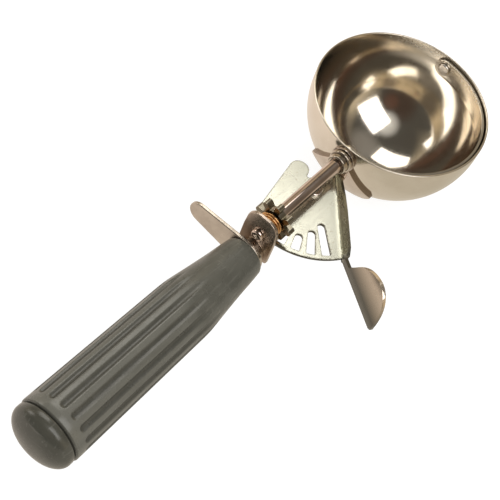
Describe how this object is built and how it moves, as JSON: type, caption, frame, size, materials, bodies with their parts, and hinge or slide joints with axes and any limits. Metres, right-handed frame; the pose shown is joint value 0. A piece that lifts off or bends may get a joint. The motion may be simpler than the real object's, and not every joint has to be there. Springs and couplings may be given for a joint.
{
  "type": "lever ice cream scoop",
  "caption": "Round scoop bowl on a fluted grip; a side thumb lever with a slotted sector turns a geared spindle that sweeps a scraper round the bowl and springs back.",
  "frame": {"origin": "centre of the sphere of the bowl, on the axis of the spindle", "axes": "+X along the spindle from the handle to the bowl, +Z out of the mouth of the bowl, +Y to the side of the finger rest, so the thumb lever is on -Y"},
  "size_m": [0.2357, 0.0884, 0.049],
  "materials": {
    "polished_steel": "polished stainless steel with light wear",
    "satin_steel": "satin stainless steel",
    "spring_steel": "drawn bronze wire",
    "grip_plastic": "moulded grip, slightly worn",
    "cap_plastic": "moulded cap"
  },
  "bodies": {
    "frame": {"bowl": "polished_steel", "bowl_saddle": "polished_steel", "frame_bar": "satin_steel", "front_bush": "satin_steel", "end_bracket": "satin_steel", "rear_bush": "satin_steel", "finger_rest": "satin_steel", "ferrule": "satin_steel", "handle_grip": "grip_plastic", "tang_washer": "satin_steel", "tang_nut": "satin_steel", "end_cap": "cap_plastic", "pivot_washer": "satin_steel", "lever_rivet": "satin_steel", "blade_pin": "satin_steel", "return_spring": "spring_steel"},
    "lever": {"thumb_lever": "polished_steel"},
    "spindle": {"spindle": "polished_steel", "spindle_collar": "satin_steel", "pinion": "satin_steel", "pinion_pin": "satin_steel", "scraper_blade": "polished_steel", "blade_nut": "satin_steel"}
  },
  "joints": [
    {"name": "lever_pivot", "type": "hinge", "parent": "frame", "child": "lever", "pos_m": [-0.052, 0, -0.00712], "axis": [0, 0, -1], "range_deg": [0, 44], "stiffness_Nm_per_rad": 0.3, "springref_deg": -34.38},
    {"name": "spindle_turn", "type": "hinge", "parent": "frame", "child": "spindle", "pos_m": [-0.0784, 0, 0], "axis": [1, 0, 0], "range_deg": [0, 165], "deforming": ["return_spring"]}
  ],
  "couplings": [
    {"joint": "spindle_turn", "follows": "lever_pivot", "ratio": 3.75}
  ]
}
